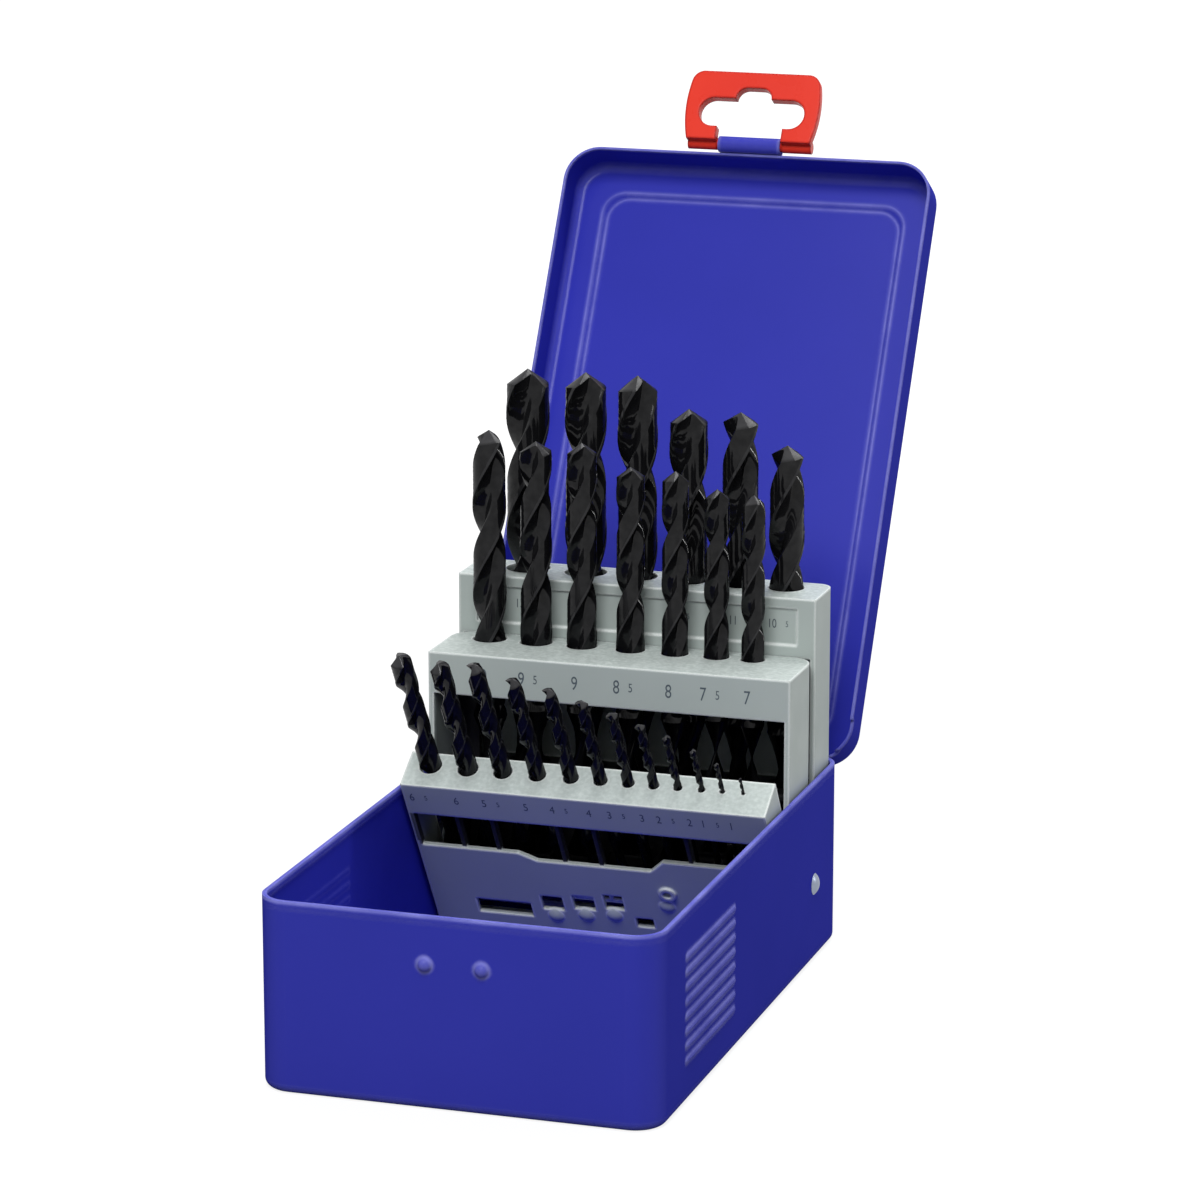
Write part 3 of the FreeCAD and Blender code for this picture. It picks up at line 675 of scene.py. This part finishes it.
@dataclass(frozen=True)
class DrillShape:
    """The cross-section and point that all the twist drills share, as parts of the radius."""

    margin_tone: float = 0.06
    point_tone: float = 0.12
    lead_turns: float = 5.44
    point_half: float = 59.0
    lip_relief: float = 0.24
    heel: float = 139.0
    land_end: float = 220.0
    relief_span: float = 80.0
    runout: float = 1.0
    chamfer: float = 0.08
    end_disc: float = 0.45
    tip_ring: float = 0.03
    row_step: float = 10.0
    cap_rings: int = 5
    angles: tuple[float, ...] = (
        41.0, 43.0, 48.0, 56.0, 66.0, 78.0, 90.0, 102.0, 113.0, 122.0, 130.0,
        136.0, 139.5, 140.5, 150.0, 165.0, 180.0, 195.0, 209.0, 211.0, 215.5, 219.99)
    radii: tuple[float, ...] = (
        0.975, 0.86, 0.68, 0.52, 0.40, 0.33, 0.30, 0.325, 0.40, 0.53, 0.70,
        0.86, 0.955, 0.965, 0.965, 0.965, 0.965, 0.965, 0.965, 1.0, 1.0, 1.0)

    def section(self) -> tuple[np.ndarray, np.ndarray, np.ndarray, np.ndarray]:
        """The closed cross-section, twice the half-turn profile.

        A land runs at the clearance radius and ends in a margin strip at full radius; the flute
        between two lands falls steeply from the cutting side, passes the web and rises to the heel.

        Returns:
            Angles in radians, radii as parts of the full radius, the lip relief and the ground tone.
        """
        degrees = np.array(self.angles)
        radius = np.array(self.radii)
        first = self.angles[0]
        behind = np.clip((self.land_end - degrees) / self.relief_span, 0.0, 1.0)
        before = np.clip((degrees - first) / (self.heel - first), 0.0, 1.0)
        relief = self.lip_relief * np.where(degrees > self.heel, behind, before)
        ground = self.margin_tone * (radius == max(self.radii))
        both = np.concatenate((degrees, degrees + 180.0))
        return np.radians(both), np.tile(radius, 2), np.tile(relief, 2), np.tile(ground, 2)


@dataclass(frozen=True)
class TwistDrill:
    """One jobber drill, standing on its shank end at the origin."""

    size: float
    length: float
    fluted: float
    across: float
    depth: float
    phase: float = 0.0

    @property
    def node(self) -> str:
        """Name of the CAD node it stands for."""
        return ("drill_%04.1f" % self.size).replace(".", "_")

    def rings(self, shape: DrillShape) -> tuple[np.ndarray, np.ndarray, np.ndarray]:
        """All vertices of the drill as rings, in millimetres.

        The wall is radius(angle, height) turned by height / lead: a plain shank with a chamfered
        end, a run-out where the section swells from the flutes to the full circle, then the fluted
        body. Each column ends on the point's cone, length - radius * (cotangent + relief), and the
        cap closes it with rings that shrink along that cone.

        Args:
            shape: The section and point shared by all drills.

        Returns:
            Vertices as (rings, columns, 3), the UV pairs and the ground tone of each vertex.
        """
        radius = self.size / 2.0
        angle, section, relief, ground = shape.section()
        lead = self.size * shape.lead_turns
        start = self.length - self.fluted
        cotangent = 1.0 / math.tan(math.radians(shape.point_half))
        end = self.length - radius * section * (cotangent + relief)
        steps = int(math.ceil((self.fluted / lead) * 360.0 / shape.row_step))
        share = np.linspace(0.0, 1.0, steps + 1)[:, None]
        height = start + share * (end[None, :] - start)
        blend = np.clip((height - start) / (shape.runout * self.size), 0.0, 1.0)
        blend = blend * blend * (3.0 - 2.0 * blend)
        reach = radius * (1.0 - blend * (1.0 - section[None, :]))
        chamfer = shape.chamfer * self.size
        flat = np.ones_like(angle)[None, :]
        shank_height = np.array([0.0, 0.0, chamfer, start * 0.5])[:, None] * flat
        disc = radius * shape.end_disc
        shank_reach = np.array([disc, radius - chamfer, radius, radius])[:, None] * flat
        inward = np.linspace(1.0, shape.tip_ring, shape.cap_rings + 1)[1:, None]
        cap_reach = radius * section[None, :] * inward
        cap_height = self.length - cap_reach * (cotangent + relief[None, :])
        heights = np.concatenate((shank_height, height, cap_height))
        reaches = np.concatenate((shank_reach, reach, cap_reach))
        cap_twist = np.repeat(end[None, :], shape.cap_rings, 0)
        twist_height = np.concatenate((shank_height, height, cap_twist))
        turned = angle[None, :] + 2.0 * np.pi * (twist_height - start) / lead + self.phase
        points = np.stack((reaches * np.cos(turned), reaches * np.sin(turned), heights), axis=-1)
        unwrapped = np.stack((np.broadcast_to(angle / (2.0 * np.pi), heights.shape),
                              heights * MM), axis=-1)
        tone = ground[None, :] * blend_rows(blend, len(cap_height), len(shank_height))
        tone[-shape.cap_rings:, :] = shape.point_tone
        return points, unwrapped, tone


def blend_rows(blend: np.ndarray, after: int, before: int) -> np.ndarray:
    """Pad the fluted rows' blend with plain shank rows below and cap rows above.

    Args:
        blend: Run-out blend of the fluted rows, 0 at the shank and 1 in the flutes.
        after: Rows of the cap.
        before: Rows of the shank.

    Returns:
        The blend for every row.
    """
    columns = blend.shape[1]
    return np.concatenate((np.zeros((before, columns)), blend, np.ones((after, columns))))


@dataclass(frozen=True)
class RackSeat:
    """Where a rack's top front edge is and how its row of drills stands, in millimetres."""

    edge_y: float
    edge_z: float
    row: float
    tilt: float = 0.0

    def place(self, points: np.ndarray) -> np.ndarray:
        """Turn points of the rack's own frame about X and carry them to the edge.

        Args:
            points: Points with the rack's edge at the origin, in millimetres.

        Returns:
            The points in the part's frame, in metres.
        """
        turn = math.radians(self.tilt)
        y = points[..., 1] * math.cos(turn) - points[..., 2] * math.sin(turn) + self.edge_y
        z = points[..., 1] * math.sin(turn) + points[..., 2] * math.cos(turn) + self.edge_z
        return np.stack((points[..., 0], y, z), axis=-1) * MM


@dataclass
class DrillRow:
    """A row of twist drills in one rack."""

    seat: RackSeat
    body: Body
    drills: tuple[TwistDrill, ...]
    shape: DrillShape = field(default_factory=DrillShape)

    def build(self, palette: Palette) -> list[bpy.types.Object]:
        """Make every drill of the row in place of its CAD node.

        Args:
            palette: The finishes.

        Returns:
            The new pieces.
        """
        return [self.make_drill(drill, palette) for drill in self.drills]

    def make_drill(self, drill: TwistDrill, palette: Palette) -> bpy.types.Object:
        """Build one drill's mesh from its rings and the two closing poles.

        Args:
            drill: The drill.
            palette: The finishes.

        Returns:
            The new piece, riding on the row's body.
        """
        points, unwrapped, tone = drill.rings(self.shape)
        rows, columns = points.shape[:2]
        offset = np.array([drill.across, self.seat.row, -drill.depth])
        poles = np.array([[0.0, 0.0, 0.0], [0.0, 0.0, drill.length]])
        vertices = self.seat.place(np.concatenate((points.reshape(-1, 3), poles)) + offset)
        quads = grid_faces(rows, columns)
        around = np.arange(columns)
        following = (around + 1) % columns
        base, tip = rows * columns, rows * columns + 1
        last = (rows - 1) * columns
        floor = np.stack((following, around, np.full(columns, base)), axis=-1)
        crown = np.stack((last + around, last + following, np.full(columns, tip)), axis=-1)
        mesh = bpy.data.meshes.new("twist_" + drill.node)
        mesh.from_pydata(vertices.tolist(), [], quads.tolist() + floor.tolist() + crown.tolist())
        mesh.validate()
        flat_uv = np.concatenate((unwrapped.reshape(-1, 2), [[0.5, 0.0], [0.5, drill.length * MM]]))
        layer = mesh.uv_layers.new(name="turned")
        corners = np.empty(len(mesh.loops), dtype=np.int32)
        mesh.loops.foreach_get("vertex_index", corners)
        layer.data.foreach_set("uv", flat_uv[corners].astype(np.float32).ravel())
        ground = mesh.attributes.new("ground", "FLOAT", "POINT")
        shades = np.concatenate((tone.ravel(), [0.0, self.shape.point_tone]))
        ground.data.foreach_set("value", shades.astype(np.float32))
        mesh.shade_smooth()
        mesh.set_sharp_from_angle(angle=math.radians(SHARP_ANGLE))
        mesh.materials.append(palette.black)
        piece = bpy.data.objects.new("twist_" + drill.node, mesh)
        bpy.context.scene.collection.objects.link(piece)
        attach(piece, self.body.value)
        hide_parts(drill.node)
        LOG.info("made %s with %d vertices", piece.name, len(vertices))
        return piece


@dataclass
class SizeMarks:
    """Drill sizes printed on the strip in front of a row: a figure and a small half."""

    seat: RackSeat
    body: Body
    drills: tuple[TwistDrill, ...]
    height: float
    drop: float
    shift: float
    recess: float = 0.0
    proud: float = 0.03
    half_share: float = 0.66
    half_pitch: float = 4.3
    slender: float = 0.74
    font_scale: float = 1.38

    def build(self, palette: Palette) -> list[bpy.types.Object]:
        """Print every size of the row.

        Args:
            palette: The finishes.

        Returns:
            One piece, the whole row of figures.
        """
        outlines = [self.figures(drill) for drill in self.drills]
        counts = np.cumsum([0] + [len(points) for points, _ in outlines])
        points = np.concatenate([points for points, _ in outlines])
        faces = [[int(corner) + int(first) for corner in face]
                 for first, (_, part) in zip(counts, outlines) for face in part]
        name = "size_marks_" + self.body.value + "_%02d" % int(self.drills[0].size)
        mesh = bpy.data.meshes.new(name)
        mesh.from_pydata(self.seat.place(points).tolist(), [], faces)
        mesh.validate()
        mesh.materials.append(palette.ink)
        piece = bpy.data.objects.new(name, mesh)
        bpy.context.scene.collection.objects.link(piece)
        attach(piece, self.body.value)
        LOG.info("printed %s", name)
        return [piece]

    def figures(self, drill: TwistDrill) -> tuple[np.ndarray, list[list[int]]]:
        """The whole-number figure and, where the size has one, the small five beside it.

        Args:
            drill: The drill whose size is printed.

        Returns:
            Points in the rack's frame in millimetres, and faces.
        """
        middle = drill.across + self.shift
        whole, faces = self.outline(str(int(drill.size)), self.height)
        if drill.size == int(drill.size):
            return whole + np.array([middle, 0.0, 0.0]), faces
        small, more = self.outline("5", self.height * self.half_share)
        step = np.array([self.half_pitch / 2.0, 0.0, 0.0])
        points = np.concatenate((whole - step, small + step)) + np.array([middle, 0.0, 0.0])
        return points, faces + [[corner + len(whole) for corner in face] for face in more]

    def outline(self, text: str, height: float) -> tuple[np.ndarray, list[list[int]]]:
        """Turn a text into a thin raised mesh standing on the strip's face.

        Args:
            text: What to print.
            height: Height of the figures in millimetres.

        Returns:
            Points in the rack's frame in millimetres, and faces.
        """
        curve = bpy.data.curves.new("figure", "FONT")
        curve.body = text
        curve.size = height * self.font_scale
        curve.extrude = self.proud
        holder = bpy.data.objects.new("figure", curve)
        bpy.context.scene.collection.objects.link(holder)
        bpy.context.view_layer.update()
        shown = holder.evaluated_get(bpy.context.evaluated_depsgraph_get())
        mesh = bpy.data.meshes.new_from_object(shown)
        flat = np.empty(len(mesh.vertices) * 3)
        mesh.vertices.foreach_get("co", flat)
        flat = flat.reshape(-1, 3)
        faces = [list(polygon.vertices) for polygon in mesh.polygons]
        bpy.data.objects.remove(holder)
        bpy.data.meshes.remove(mesh)
        low, high = flat.min(axis=0), flat.max(axis=0)
        across = (flat[:, 0] - (low[0] + high[0]) / 2.0) * self.slender
        up = flat[:, 1] - (low[1] + high[1]) / 2.0 - self.drop
        return np.stack((across, self.recess - flat[:, 2], up), axis=-1), faces


FRONT_SEAT = RackSeat(17.3, 57.0, 8.3, FRONT_LEAN)
MIDDLE_SEAT = RackSeat(42.5, 90.7, 20.1)
REAR_SEAT = RackSeat(69.6, 108.2, 12.5)

FRONT_DRILLS = (
    TwistDrill(6.5, 101.0, 63.0, -48.1, 54.0), TwistDrill(6.0, 93.0, 57.0, -36.6, 48.0),
    TwistDrill(5.5, 93.0, 57.0, -25.9, 47.0), TwistDrill(5.0, 86.0, 52.0, -15.3, 45.0),
    TwistDrill(4.5, 80.0, 47.0, -5.1, 42.0), TwistDrill(4.0, 75.0, 43.0, 3.9, 41.0),
    TwistDrill(3.5, 70.0, 39.0, 12.3, 40.0), TwistDrill(3.0, 61.0, 33.0, 20.0, 35.0),
    TwistDrill(2.5, 57.0, 30.0, 27.2, 35.0), TwistDrill(2.0, 49.0, 24.0, 34.3, 32.0),
    TwistDrill(1.5, 40.0, 18.0, 40.5, 28.0), TwistDrill(1.0, 34.0, 12.0, 46.7, 27.5),
)
MIDDLE_DRILLS = (
    TwistDrill(10.0, 133.0, 87.0, -43.0, 69.7, 1.69), TwistDrill(9.5, 125.0, 81.0, -28.5, 64.2),
    TwistDrill(9.0, 125.0, 81.0, -14.3, 63.7), TwistDrill(8.5, 117.0, 75.0, 0.7, 61.9),
    TwistDrill(8.0, 117.0, 75.0, 14.4, 62.2), TwistDrill(7.5, 109.0, 69.0, 27.1, 58.7),
    TwistDrill(7.0, 109.0, 69.0, 38.2, 59.7),
)
REAR_DRILLS = (
    TwistDrill(13.0, 151.0, 101.0, -37.5, 90.2, 1.38),
    TwistDrill(12.5, 151.0, 101.0, -19.4, 90.2, 1.1),
    TwistDrill(12.0, 151.0, 101.0, -3.3, 90.2, 1.14),
    TwistDrill(11.5, 142.0, 94.0, 12.5, 90.2, 0.9),
    TwistDrill(11.0, 142.0, 94.0, 28.4, 90.2, -0.85),
    TwistDrill(10.5, 133.0, 87.0, 42.7, 90.2, -0.68),
)


@dataclass
class SteelCase:
    """The painted tray and lid with their plated hardware, carried over from the CAD."""

    painted: tuple[str, ...] = ("base_tray", "lid_shell")
    plated: tuple[str, ...] = ("pivot_bracket_left", "pivot_bracket_right", "side_rivets",
                               "hinge_pin", "stack_pivot_pins", "front_pivot_pins")

    def build(self, nodes: dict[str, bpy.types.Object], palette: Palette) -> None:
        """Dress the sheet metal and hardware.

        Args:
            nodes: The frame's nodes by name.
            palette: The finishes.
        """
        dress_nodes(nodes, self.painted, palette.blue)
        dress_nodes(nodes, self.plated, palette.zinc)


@dataclass
class Racks:
    """The three moulded racks, their drills and their printed sizes."""

    moulded: tuple[str, ...] = ("rack_front", "rack_middle", "rack_rear")

    def build(self, nodes: dict[str, bpy.types.Object], palette: Palette) -> None:
        """Dress the mouldings, then fill and mark them.

        Args:
            nodes: The frame's nodes by name.
            palette: The finishes.
        """
        dress_nodes(nodes, self.moulded, palette.grey)
        rows = ((FRONT_SEAT, Body.FRONT_RACK, FRONT_DRILLS),
                (MIDDLE_SEAT, Body.RACK_STACK, MIDDLE_DRILLS),
                (REAR_SEAT, Body.RACK_STACK, REAR_DRILLS))
        for row in rows:
            DrillRow(*row).build(palette)
        front, middle, rear = rows
        SizeMarks(*front, height=3.2, drop=5.2, shift=-2.3).build(palette)
        SizeMarks(*middle, height=4.2, drop=6.0, shift=4.2).build(palette)
        SizeMarks(*rear, height=2.8, drop=8.0, shift=1.5, recess=0.5).build(palette)


@dataclass
class Latch:
    """The red latch that doubles as a hanger."""

    moulded: tuple[str, ...] = ("latch",)

    def build(self, nodes: dict[str, bpy.types.Object], palette: Palette) -> None:
        """Dress the latch in red."""
        dress_nodes(nodes, self.moulded, palette.red)


@dataclass(frozen=True)
class Lamp:
    """A rectangular area lamp: its place and its width and height in metres, its power in watts."""

    name: str
    place: Triple
    size: tuple[float, float]
    power: float
    aim: Triple = (0.0, 0.05, 0.08)

    def build(self) -> None:
        """Hang the lamp and turn it to the case."""
        data = bpy.data.lights.new(self.name, "AREA")
        data.shape = "RECTANGLE"
        data.size, data.size_y = self.size
        data.energy = self.power
        lamp = bpy.data.objects.new(self.name, data)
        lamp.location = self.place
        beam = Vector(self.aim) - Vector(self.place)
        lamp.rotation_euler = beam.to_track_quat("-Z", "Y").to_euler()
        bpy.context.scene.collection.objects.link(lamp)


@dataclass
class Studio:
    """Floor, world, lamps and camera."""

    place: Triple = (0.4168, -1.2515, 0.4512)
    azimuth: float = 17.941
    pitch: float = 14.068
    focal: float = 145.23
    sensor: float = 36.0
    floor_half: float = 8.0
    floor_colour: Colour = (0.22, 0.22, 0.22)
    glow_near: float = 0.35
    glow_far: float = 1.1
    floor_share: float = 0.84
    sky_light: float = 0.27
    lamps: tuple[Lamp, ...] = (
        Lamp("Key lamp", (0.12, -1.2, 1.57), (0.9, 0.9), 26.5),
        Lamp("Top lamp", (0.05, 0.95, 1.74), (1.1, 1.1), 21.0),
        Lamp("Strip lamp", (0.62, 0.24, 0.36), (0.025, 0.32), 0.9),
    )

    def build(self) -> None:
        """Set the stage up."""
        self.make_floor()
        self.make_world()
        for lamp in self.lamps:
            lamp.build()
        self.make_camera()

    def make_floor(self) -> None:
        """A pale floor, white to the camera where no shadow falls."""
        half = self.floor_half
        mesh = bpy.data.meshes.new("floor")
        corners = [(-half, -half, 0.0), (half, -half, 0.0), (half, half, 0.0), (-half, half, 0.0)]
        mesh.from_pydata(corners, [], [(0, 1, 2, 3)])
        floor = bpy.data.objects.new("floor", mesh)
        bpy.context.scene.collection.objects.link(floor)
        material = bpy.data.materials.new("Pale floor")
        material.use_nodes = True
        material.node_tree.nodes.clear()
        canvas = Canvas(material.node_tree)
        diffuse = canvas.add("ShaderNodeBsdfDiffuse", {"Color": rgba(self.floor_colour)})
        place = canvas.add("ShaderNodeTexCoord")
        reach = canvas.add("ShaderNodeVectorMath", {0: place.outputs["Object"]}, operation="LENGTH")
        white = canvas.remap(reach.outputs["Value"], self.glow_near, self.glow_far, self.floor_share, 1.0)
        strength = canvas.math("MULTIPLY", self.seen_rays(canvas), white)
        glow = canvas.add("ShaderNodeEmission", {"Color": rgba(WHITE), "Strength": strength})
        both = canvas.add("ShaderNodeAddShader", {0: diffuse.outputs[0], 1: glow.outputs[0]})
        canvas.add("ShaderNodeOutputMaterial", {"Surface": both.outputs[0]})
        mesh.materials.append(material)

    @staticmethod
    def seen_rays(canvas: Canvas) -> bpy.types.NodeSocket:
        """Tell the rays that see a white background from the rest.

        Args:
            canvas: The canvas of a material or world.

        Returns:
            One for camera, glossy and transmission rays, nought for the others.
        """
        path = canvas.add("ShaderNodeLightPath")
        either = canvas.math("MAXIMUM", path.outputs["Is Camera Ray"], path.outputs["Is Glossy Ray"])
        return canvas.math("MAXIMUM", either, path.outputs["Is Transmission Ray"])

    def make_world(self) -> None:
        """Even sky light; the camera and reflections see it white."""
        world = bpy.data.worlds.new("Studio")
        bpy.context.scene.world = world
        world.use_nodes = True
        world.node_tree.nodes.clear()
        canvas = Canvas(world.node_tree)
        strength = canvas.remap(self.seen_rays(canvas), 0.0, 1.0, self.sky_light, 1.0)
        light = canvas.add("ShaderNodeBackground", {"Color": rgba(WHITE), "Strength": strength})
        canvas.add("ShaderNodeOutputWorld", {"Surface": light.outputs[0]})

    def make_camera(self) -> None:
        """The camera at the photograph's viewing angle."""
        data = bpy.data.cameras.new("Camera")
        data.lens = self.focal
        data.sensor_width = self.sensor
        data.clip_end = 100.0
        camera = bpy.data.objects.new("Camera", data)
        camera.location = self.place
        turn, down = math.radians(self.azimuth), math.radians(self.pitch)
        level = math.cos(down)
        forward = Vector((-math.sin(turn) * level, math.cos(turn) * level, -math.sin(down)))
        camera.rotation_euler = forward.to_track_quat("-Z", "Y").to_euler()
        bpy.context.scene.collection.objects.link(camera)
        bpy.context.scene.camera = camera


def main() -> None:
    """Load the frame, build the classes in order and report them."""
    logging.basicConfig(level=logging.INFO, format="%(message)s")
    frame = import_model()
    bpy.context.scene.view_settings.view_transform = "Standard"
    palette = Palette(SurfaceEffects())
    SteelCase().build(frame["nodes"], palette)
    Racks().build(frame["nodes"], palette)
    Latch().build(frame["nodes"], palette)
    Studio().build()


if __name__ == "__main__":
    main()
